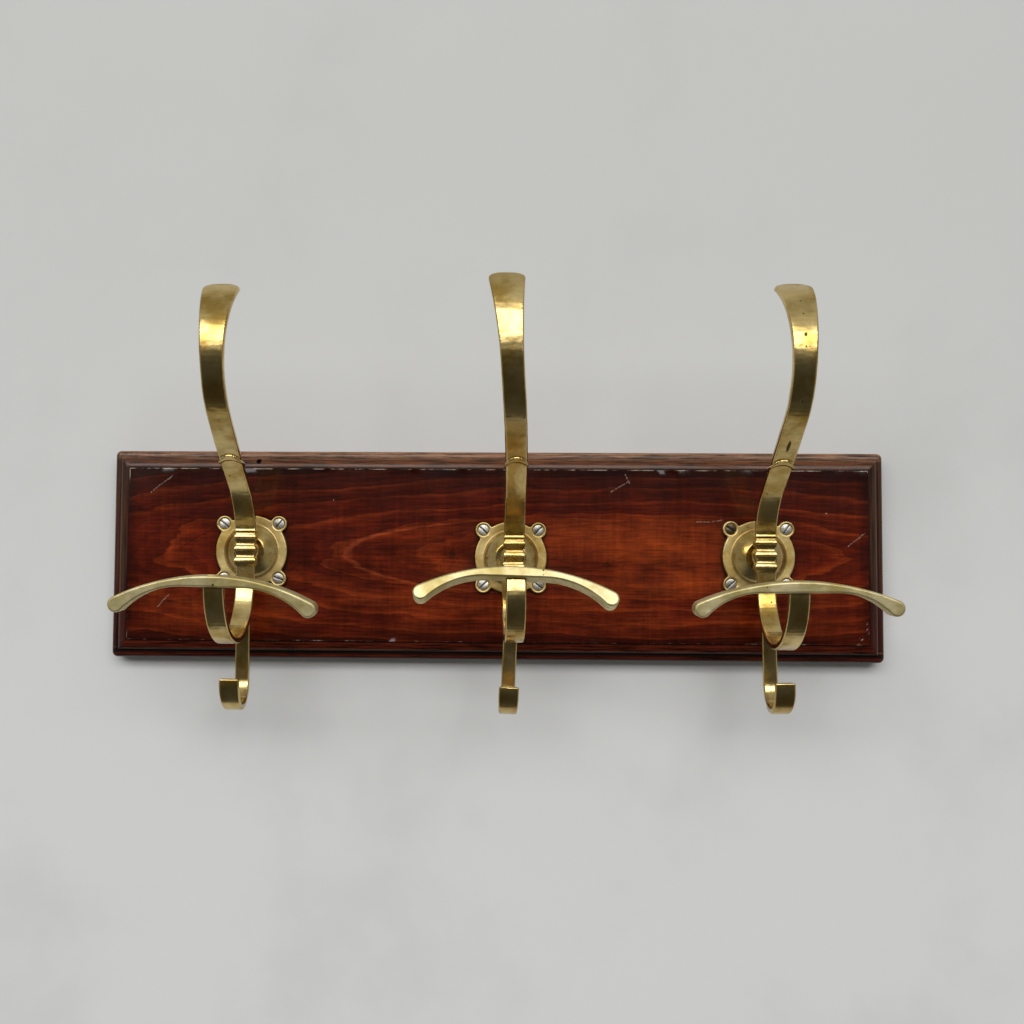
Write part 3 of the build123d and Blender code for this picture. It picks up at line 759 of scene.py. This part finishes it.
@dataclass(frozen=True)
class CastBrass:
    """Old cast brass, polished by hand: bright on its crowns, olive and dark in its corners."""

    name: str
    polish: Polish
    gloss: float
    flaws: Tuple[Flaw, ...] = ()
    satin_behind: float = 0.0
    gold: Colour = srgb(214, 190, 130)
    olive: Colour = srgb(170, 139, 70)
    tarnish: Colour = srgb(54, 42, 15)
    clouds: Noise = Noise(55, 4, 0.6)
    swell: Noise = Noise(75)
    dimples: Noise = Noise(240)
    flaw_edge: Noise = Noise(1400)
    pits: Flecks = Flecks(330, 0.03, 0.22)
    line_scale: float = 1500.0
    recess_reach: float = 4.0 * MM
    satin_fade: float = 0.6 * MM
    satin_roughness: float = 0.24
    swell_depth: float = 0.42 * MM
    line_depth: float = 0.02 * MM

    def build(self) -> bpy.types.Material:
        """Make the material and return it."""
        material, sheet = new_material(self.name)
        at = Where(sheet)
        lines = at.noise(Noise(self.line_scale, 2, 0.6, run=self.polish.value))
        cloudy = at.noise(self.clouds)
        hollow = sheet.recess(self.recess_reach).step(0.25, 0.75)
        pits = at.flecks(self.pits).most(self._holes(at))
        colour = sheet.mix(cloudy.step(0.35, 0.7), self.gold, self.olive)
        colour = sheet.shade(0.9 + lines * 0.2, colour)
        colour = sheet.mix((hollow * (0.5 + cloudy)).most(pits * 0.85), colour, self.tarnish)
        satin = at.y.step(self.satin_behind - self.satin_fade, self.satin_behind)
        rough = self.gloss - 0.05 + cloudy * 0.1 + lines * 0.06
        rough = rough + hollow * 0.2 + pits * 0.3 + satin * self.satin_roughness
        swell = sheet.bump(at.noise(self.swell) + at.noise(self.dimples) * 0.16, self.swell_depth)
        relief = sheet.bump(lines * 0.4 + (1.0 - pits) * 2.0, self.line_depth, swell)
        shader = sheet.add(
            "ShaderNodeBsdfPrincipled",
            inputs={
                "Base Color": colour,
                "Roughness": rough,
                "Metallic": 1.0 - hollow * 0.4,
                "Normal": relief,
            },
        )
        sheet.finish(shader)
        return material

    def _holes(self, at: Where) -> Socket:
        """Single casting holes on the front of the piece.

        Args:
            at: Place on the piece.

        Returns:
            1 in a hole and 0 around it.
        """
        facing = at.normal()[1]
        ragged = at.noise(self.flaw_edge)
        marks: Value = 0.0
        for flaw in self.flaws:
            across = (at.x - flaw.x) / flaw.half_width
            up = (at.z - flaw.z) / flaw.half_height
            marks = (across * across + up * up + ragged).step(1.6, 1.0).most(marks)
        return facing.step(0.0, -0.2) * marks


@dataclass(frozen=True)
class ScrewSteel:
    """Plated screw heads, some bright and one stained dark, with painted shade in their slots and around
    their heads.
    """

    silver: Colour = srgb(190, 187, 178)
    brown: Colour = srgb(120, 106, 82)
    # Dark colour of the painted shade in the slots and around the heads, also used to darken the stained
    # head.
    darkening: Colour = srgb(20, 15, 10)
    clouds: Noise = Noise(420, 4, 0.65)
    lines: Noise = Noise(2600, run=(0.1, 1.0, 1.0), turn=35.0)
    dark_head: Place = (150.5 * MM, 17.6 * MM)
    head: float = 4.5 * MM
    recess_reach: float = 2.2 * MM
    relief_depth: float = 0.03 * MM

    def build(self) -> bpy.types.Material:
        """Make the material and return it."""
        material, sheet = new_material("screw_steel_worn")
        at = Where(sheet)
        cloudy = at.noise(self.clouds)
        hollow = sheet.recess(self.recess_reach).step(0.22, 0.6)
        off = at.distance(self.dark_head)
        stained = (off * off).step(self.head**2, self.head**2 * 0.8)
        colour = sheet.mix(cloudy.step(0.5, 0.75).most(stained), self.silver, self.brown)
        # Painted shade: slots and the gaps around the heads, found as recesses, are darkened; the stained
        # head is darkened towards the same colour.
        colour = sheet.mix(hollow.most(stained * 0.5), colour, self.darkening)
        shader = sheet.add(
            "ShaderNodeBsdfPrincipled",
            inputs={
                "Base Color": colour,
                "Roughness": 0.32 + cloudy * 0.16 + hollow * 0.3,
                "Metallic": 1.0 - hollow * 0.8,
                "Normal": sheet.bump(at.noise(self.lines) + cloudy, self.relief_depth),
            },
        )
        sheet.finish(shader)
        return material


@dataclass(frozen=True)
class WallPaint:
    """Pale grey matt paint, with painted light making it lighter towards the bottom, which is seen through
    from behind.
    """

    paint: Colour = srgb(207, 207, 205)
    lit_low_paint: Colour = srgb(230, 230, 229)
    scuff: Colour = srgb(195, 195, 193)
    clouds: Noise = Noise(6, 4, 0.6)
    roller: Noise = Noise(420)
    shade_height: float = 0.36
    specular: float = 0.25
    relief_depth: float = 0.05 * MM

    def build(self) -> bpy.types.Material:
        """Make the material and return it."""
        material, sheet = new_material("matt_wall_paint")
        at = Where(sheet)
        cloudy = at.noise(self.clouds)
        # Painted light: the wall is made lighter towards the bottom.
        height = at.z.step(self.shade_height, -self.shade_height)
        colour = sheet.mix(height, self.paint, self.lit_low_paint)
        colour = sheet.mix(cloudy.step(0.45, 0.75) * 0.3, colour, self.scuff)
        paint = sheet.add(
            "ShaderNodeBsdfPrincipled",
            inputs={
                "Base Color": colour,
                "Roughness": 0.7 + cloudy * 0.1,
                "Specular IOR Level": self.specular,
                "Normal": sheet.bump(at.noise(self.roller), self.relief_depth),
            },
        )
        clear = sheet.add("ShaderNodeBsdfTransparent")
        behind = sheet.add("ShaderNodeNewGeometry", output="Backfacing")
        sheet.finish(sheet.add("ShaderNodeMixShader", inputs={0: behind, 1: paint, 2: clear}))
        return material


def take_up(piece: bpy.types.Object) -> None:
    """Select one piece alone and make it active.

    Args:
        piece: The piece to work on.
    """
    bpy.ops.object.select_all(action="DESELECT")
    piece.select_set(True)
    bpy.context.view_layer.objects.active = piece


@contextmanager
def editing(piece: bpy.types.Object, parts: str = "VERT", select: str = "SELECT") -> Iterator[None]:
    """Edit one piece, and leave edit mode afterwards.

    Args:
        piece: The piece to edit.
        parts: What is selected: VERT, EDGE or FACE.
        select: SELECT to start with everything, DESELECT to start with nothing.
    """
    take_up(piece)
    bpy.ops.object.mode_set(mode="EDIT")
    bpy.ops.mesh.select_mode(type=parts)
    bpy.ops.mesh.select_all(action=select)
    yield
    bpy.ops.object.mode_set(mode="OBJECT")


def merged_copy(node: str, name: str) -> bpy.types.Object:
    """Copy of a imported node, merged into one closed skin with flat faces in one piece.

    Args:
        node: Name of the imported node.
        name: Name of the new piece.

    Returns:
        The new piece.
    """
    piece = bpy.data.objects.new(name, frame["nodes"][node].data.copy())
    piece.data.name = name
    bpy.context.scene.collection.objects.link(piece)
    take_up(piece)
    bpy.ops.mesh.customdata_custom_splitnormals_clear()
    merge_faces(piece)
    return piece


def merge_faces(piece: bpy.types.Object) -> None:
    """Weld the corners that meet and join faces that lie in one plane.

    Args:
        piece: The piece to change.
    """
    with editing(piece):
        bpy.ops.mesh.remove_doubles(threshold=WELD)
        bpy.ops.mesh.dissolve_limited(angle_limit=FLAT_ANGLE)


def drop_slivers(piece: bpy.types.Object) -> None:
    """Weld corners that meet and dissolve edges and faces that have shrunk to nothing.

    Args:
        piece: The piece to change.
    """
    with editing(piece):
        bpy.ops.mesh.remove_doubles(threshold=WELD)
        bpy.ops.mesh.dissolve_degenerate(threshold=WELD)


def keep_outer_skin(piece: bpy.types.Object) -> None:
    """Delete closed hollows inside a piece, such as covered pilot holes.

    Args:
        piece: The piece to change.
    """
    with editing(piece, select="DESELECT"):
        skin = bmesh.from_edit_mesh(piece.data)
        outermost = min(skin.verts, key=lambda corner: corner.co.x)
        outermost.select_set(True)
        bmesh.update_edit_mesh(piece.data)
        bpy.ops.mesh.select_linked()
        bpy.ops.mesh.select_all(action="INVERT")
        bpy.ops.mesh.delete(type="VERT")


def modify(piece: bpy.types.Object, kind: str, **settings: Any) -> None:
    """Add one modifier with its settings and apply it.

    Args:
        piece: The piece to change.
        kind: Type name of the modifier.
        **settings: Properties of the modifier.
    """
    take_up(piece)
    modifier = piece.modifiers.new(kind.lower(), kind)
    for name, value in settings.items():
        setattr(modifier, name, value)
    bpy.ops.object.modifier_apply(modifier=modifier.name)


def hand_in(piece: bpy.types.Object, node: str, material: bpy.types.Material) -> None:
    """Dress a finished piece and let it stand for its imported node.

    Args:
        piece: The finished piece.
        node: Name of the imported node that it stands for.
        material: Finish of the piece.
    """
    piece.data.materials.clear()
    piece.data.materials.append(material)
    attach(piece, BODY)
    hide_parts(node)
    LOG.info("%s stands for %s with %d faces", piece.name, node, len(piece.data.polygons))


@dataclass
class Backboard:
    """Moulded board, cut into a fine grid so that its arrises can be softened and worn uneven.

    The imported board's raised panel and moulding stop at its middle line, so their lower half is made here.
    """

    node: str = "backboard"
    moulding_width: float = 12.0 * MM
    ledge_width: float = 5.5 * MM
    ledge_thickness: float = 14.0 * MM
    upright_rise: float = 2.4 * MM
    ovolo_width: float = 5.6 * MM
    ovolo_rise: float = 2.6 * MM
    ovolo_steps: int = 6
    quirk_width: float = 0.9 * MM
    quirk_rise: float = 1.0 * MM
    grid: float = 4.0 * MM
    arris: float = 0.35 * MM
    arris_steps: int = 2
    shortest_arris: float = 1.5 * MM
    wear: float = 0.07 * MM
    wear_reach: float = 0.8 * MM
    wear_seed: int = 5

    def panel_half(self) -> Place:
        """Half the length and half the height of the raised panel."""
        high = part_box(self.node)[1]
        return high.x - self.moulding_width, high.z - self.moulding_width

    def ledge_edge(self) -> float:
        """Height of the moulding's outer edge, where the ledge begins."""
        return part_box(self.node)[1].z - self.ledge_width

    def build(self) -> None:
        """Make the board and dress it."""
        board = merged_copy(self.node, "polished_board")
        self._add_lower_half(board)
        self._cut_into_grid(board)
        self._soften(board)
        self._wear_down(board)
        drop_slivers(board)
        take_up(board)
        bpy.ops.object.shade_smooth_by_angle(angle=CREASE_ANGLE)
        finish = Mahogany(self.panel_half(), self.ledge_edge())
        hand_in(board, self.node, finish.build())

    def _add_lower_half(self, board: bpy.types.Object) -> None:
        """Make the lower half of the raised panel and its moulding, and fuse it with the board.

        Args:
            board: The board's copy.
        """
        low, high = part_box(self.node)
        bpy.ops.mesh.primitive_plane_add(size=1.0, rotation=(radians(90), 0.0, 0.0))
        raised = bpy.context.object
        raised.scale = (high.x - low.x - 2 * self.ledge_width, high.z - low.z - 2 * self.ledge_width, 1.0)
        raised.location.y = -self.ledge_thickness
        bpy.ops.object.transform_apply(location=True, rotation=True, scale=True)
        with editing(raised, "FACE"):
            self._raise_face(self.upright_rise)
            for inward, forward in self._ovolo():
                bpy.ops.mesh.inset(thickness=inward, depth=forward)
            bpy.ops.mesh.inset(thickness=self.quirk_width)
            self._raise_face(self.quirk_rise)
            bpy.ops.mesh.select_all(action="SELECT")
            bpy.ops.mesh.bisect(plane_co=MIDDLE, plane_no=UP, clear_outer=True, use_fill=True)
            bpy.ops.mesh.select_all(action="SELECT")
            bpy.ops.mesh.normals_make_consistent(inside=False)
        modify(board, "BOOLEAN", operation="UNION", solver="EXACT", object=raised)
        bpy.data.objects.remove(raised)
        merge_faces(board)
        keep_outer_skin(board)
        LOG.info("lower half fused: %d faces", len(board.data.polygons))

    @staticmethod
    def _raise_face(height: float) -> None:
        """Extrude the selected front face towards the room."""
        bpy.ops.mesh.extrude_region_move(TRANSFORM_OT_translate={"value": (0.0, -height, 0.0)})

    def _ovolo(self) -> List[Tuple[float, float]]:
        """Steps inward and forward along the ovolo, from its lower edge to its level top."""
        radius = (self.ovolo_width**2 + self.ovolo_rise**2) / (2 * self.ovolo_rise)
        sweep = asin(self.ovolo_width / radius)
        angles = [sweep * (1 - step / self.ovolo_steps) for step in range(self.ovolo_steps + 1)]
        pairs = zip(angles, angles[1:])
        return [(radius * (sin(a) - sin(b)), radius * (cos(b) - cos(a))) for a, b in pairs]

    def _cut_into_grid(self, board: bpy.types.Object) -> None:
        """Cut all faces along even planes across and up the board.

        Args:
            board: The board's copy.
        """
        low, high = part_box(self.node)
        with editing(board):
            for axis, normal in ((0, RIGHT), (2, UP)):
                span = high[axis] - low[axis]
                cuts = round(span / self.grid)
                for cut in range(1, cuts):
                    offset = low[axis] + span * cut / cuts
                    place = tuple(offset * direction for direction in normal)
                    bpy.ops.mesh.select_all(action="SELECT")
                    bpy.ops.mesh.bisect(plane_co=place, plane_no=normal)

    def _soften(self, board: bpy.types.Object) -> None:
        """Round the long arrises of the moulding and of the back.

        Args:
            board: The board's copy.
        """
        with editing(board, "EDGE", "DESELECT"):
            skin = bmesh.from_edit_mesh(board.data)
            for edge in skin.edges:
                long_arris = edge.is_manifold and edge.calc_length() > self.shortest_arris
                if long_arris and edge.calc_face_angle() > CREASE_ANGLE:
                    edge.select_set(True)
            bmesh.update_edit_mesh(board.data)
            bpy.ops.mesh.bevel(offset=self.arris, segments=self.arris_steps, clamp_overlap=True)

    def _wear_down(self, board: bpy.types.Object) -> None:
        """Shift the corners along the panel's arris a little, as years of knocks leave them.

        Args:
            board: The board's copy.
        """
        half_x, half_z = self.panel_half()
        with editing(board, select="DESELECT"):
            skin = bmesh.from_edit_mesh(board.data)
            face = min(corner.co.y for corner in skin.verts)
            for corner in skin.verts:
                inset = min(half_x - abs(corner.co.x), half_z - abs(corner.co.z))
                worn = abs(inset) < self.wear_reach and corner.co.y < face + self.wear_reach
                corner.select_set(worn)
            skin.select_flush(False)
            bmesh.update_edit_mesh(board.data)
            bpy.ops.transform.vertex_random(offset=self.wear, uniform=1.0, normal=0.0, seed=self.wear_seed)


@dataclass
class HookSet:
    """One rose, the hook that it carries and the hook's crossbar, each a hand-finished casting."""

    hand: Hand
    arm_flaws: Tuple[Flaw, ...] = ()
    bar_flaws: Tuple[Flaw, ...] = ()
    hook_grain: float = 0.44 * MM
    rose_grain: float = 0.36 * MM
    bar_grain: float = 0.34 * MM
    arm_gloss: float = 0.2
    bar_gloss: float = 0.46
    rose_gloss: float = 0.16
    rose_flat: float = -24.2 * MM
    bar_gold: Colour = srgb(220, 207, 160)
    bar_olive: Colour = srgb(182, 164, 104)
    easing: float = 0.5
    easing_rounds: int = 2
    unevenness: float = 0.1 * MM
    lump: float = 14.0 * MM

    def build(self) -> None:
        """Make the three castings and dress them."""
        name = self.hand.value
        arm = CastBrass(f"hook_brass_{name}", Polish.UPRIGHT, self.arm_gloss, flaws=self.arm_flaws)
        bar = CastBrass(
            f"bar_brass_{name}",
            Polish.SIDEWAYS,
            self.bar_gloss,
            flaws=self.bar_flaws,
            gold=self.bar_gold,
            olive=self.bar_olive,
        )
        rose = CastBrass(f"rose_brass_{name}", Polish.ROUND, self.rose_gloss, satin_behind=self.rose_flat)
        self._casting(f"hook_{name}", f"cast_hook_{name}", self.hook_grain, arm)
        self._casting(f"crossbar_{name}", f"cast_crossbar_{name}", self.bar_grain, bar)
        self._casting(f"rose_{name}", f"cast_rose_{name}", self.rose_grain, rose)

    def _casting(self, node: str, name: str, grain: float, finish: CastBrass) -> None:
        """Cast one piece: an even skin, eased edges and the slight unevenness of hand filing.

        Args:
            node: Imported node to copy.
            name: Name of the new piece.
            grain: Size of the skin's faces.
            finish: Brass finish of the piece.
        """
        piece = merged_copy(node, name)
        modify(piece, "REMESH", mode="VOXEL", voxel_size=grain, use_smooth_shade=True)
        keep_outer_skin(piece)
        modify(piece, "SMOOTH", factor=self.easing, iterations=self.easing_rounds)
        filing = bpy.data.textures.new(f"filing_{name}", "CLOUDS")
        filing.noise_scale = self.lump
        modify(
            piece,
            "DISPLACE",
            texture=filing,
            texture_coords="LOCAL",
            strength=self.unevenness,
            mid_level=1.0,
        )
        hand_in(piece, node, finish.build())


ARM_MIDDLE = 167.7 * MM
HOOKS = (
    HookSet(Hand.LEFT, bar_flaws=(Flaw(-156.3 * MM, -17.6 * MM, 0.7 * MM, 0.9 * MM),)),
    HookSet(Hand.CENTRE, bar_flaws=(Flaw(-23.0 * MM, -9.4 * MM, 1.1 * MM, 0.7 * MM),)),
    HookSet(
        Hand.RIGHT,
        arm_flaws=(
            Flaw(ARM_MIDDLE, 141.4 * MM, 0.5 * MM, 0.6 * MM),
            Flaw(ARM_MIDDLE, 133.2 * MM, 0.5 * MM, 0.7 * MM),
            Flaw(ARM_MIDDLE, 120.8 * MM, 0.9 * MM, 1.3 * MM),
            Flaw(ARM_MIDDLE, 114.0 * MM, 0.5 * MM, 0.6 * MM),
            Flaw(ARM_MIDDLE, 85.3 * MM, 0.6 * MM, 0.9 * MM),
            Flaw(ARM_MIDDLE, 63.4 * MM, 1.1 * MM, 3.0 * MM),
        ),
    ),
)


@dataclass
class Screws:
    """Twelve slotted screws, with their edges broken."""

    node: str = "rose_screws"
    edge: float = 0.12 * MM
    edge_steps: int = 2

    def build(self) -> None:
        """Make the screws and dress them."""
        screws = merged_copy(self.node, "slotted_screws")
        modify(
            screws,
            "BEVEL",
            width=self.edge,
            segments=self.edge_steps,
            limit_method="ANGLE",
            angle_limit=CREASE_ANGLE,
            use_clamp_overlap=True,
        )
        drop_slivers(screws)
        take_up(screws)
        bpy.ops.object.shade_smooth_by_angle(angle=CREASE_ANGLE)
        hand_in(screws, self.node, ScrewSteel().build())


@dataclass
class Studio:
    """Wall, soft light and a camera at the photograph's place."""

    wall_reach: float = 4.0
    wall_overlap: float = 1.1 * MM
    wall_front: float = 0.3 * MM
    camera_place: Triple = (-2.25 * MM, -679.75 * MM, -2.13 * MM)
    camera_turn: Triple = (92.608, -0.372, 1.396)
    camera_start: float = 10.0 * MM
    sensor: float = 36.0
    lens: float = 36.035
    shift_x: float = 0.0443
    key_place: Triple = (-0.25, -2.85, 1.48)
    key_size: Tuple[float, float] = (5.0, 1.36)
    key_power: float = 94.0
    target: Triple = (0.0, -0.03, 0.0)
    room: Stops = (
        (0.0, srgb(76, 75, 72)),
        (0.1, srgb(66, 65, 62)),
        (0.3, srgb(62, 61, 58)),
        (0.54, srgb(62, 61, 58)),
        (0.63, srgb(132, 131, 128)),
        (0.7, srgb(142, 142, 140)),
        (0.85, srgb(196, 196, 194)),
        (1.0, srgb(172, 172, 170)),
    )
    side_wall: Colour = srgb(158, 158, 156)
    side_fade: Fade = (0.4, 0.85)

    def build(self) -> None:
        """Set up everything around the rack."""
        self._wall()
        self._key_light()
        self._surroundings()
        self._camera()
        bpy.context.scene.view_settings.view_transform = "Standard"

    def _wall(self) -> None:
        """Wall whose edge is sunk in the board's sides, open behind the board to let light to its back."""
        low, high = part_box("backboard")
        place = (0.0, -self.wall_front, 0.0)
        bpy.ops.mesh.primitive_plane_add(size=1.0, location=place, rotation=(radians(90), 0.0, 0.0))
        wall = bpy.context.object
        wall.name = "wall"
        margin = 2 * (self.wall_reach - self.wall_overlap)
        wall.scale = (high.x - low.x + margin, high.z - low.z + margin, 1.0)
        bpy.ops.object.transform_apply(location=True, rotation=True, scale=True)
        with editing(wall, "FACE"):
            bpy.ops.mesh.inset(thickness=self.wall_reach)
            bpy.ops.mesh.delete(type="FACE")
        wall.data.materials.append(WallPaint().build())
        LOG.info("wall with %d faces", len(wall.data.polygons))

    def _key_light(self) -> None:
        """Large soft lamp, above and in front of the rack."""
        bpy.ops.object.light_add(type="AREA", location=self.key_place)
        lamp = bpy.context.object
        lamp.name = "key_light"
        lamp.data.shape = "RECTANGLE"
        lamp.data.size, lamp.data.size_y = self.key_size
        lamp.data.energy = self.key_power
        aim = Vector(self.target) - Vector(self.key_place)
        lamp.rotation_euler = aim.to_track_quat("-Z", "Y").to_euler()

    def _surroundings(self) -> None:
        """Plain room: a bright ceiling, pale side walls, a dim space in front and a grey floor."""
        world = bpy.data.worlds.new("plain_room")
        bpy.context.scene.world = world
        world.use_nodes = True
        sheet = Sheet(world.node_tree)
        direction = sheet.add("ShaderNodeTexCoord", output="Generated")
        sideways, _, up = sheet.axes(direction)
        room = sheet.ramp(up * 0.5 + 0.5, self.room)
        colour = sheet.mix(abs(sideways).step(*self.side_fade), room, self.side_wall)
        light = sheet.add("ShaderNodeBackground", inputs={"Color": colour, "Strength": 1.0})
        sheet.add("ShaderNodeOutputWorld", inputs={"Surface": light})

    def _camera(self) -> None:
        """Camera at the photograph's place, angle and field of view."""
        turn = tuple(radians(angle) for angle in self.camera_turn)
        bpy.ops.object.camera_add(location=self.camera_place, rotation=turn)
        camera = bpy.context.object
        camera.name = "photo_camera"
        camera.data.sensor_width = self.sensor
        camera.data.lens = self.lens
        camera.data.shift_x = self.shift_x
        camera.data.clip_start = self.camera_start
        bpy.context.scene.camera = camera


def main() -> None:
    """Build the board, the hooks, the screws and the studio, in that order."""
    logging.basicConfig(level=logging.INFO, format="%(name)s: %(message)s")
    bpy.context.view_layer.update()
    Backboard().build()
    for hooks in HOOKS:
        hooks.build()
    Screws().build()
    Studio().build()


if __name__ == "__main__":
    main()
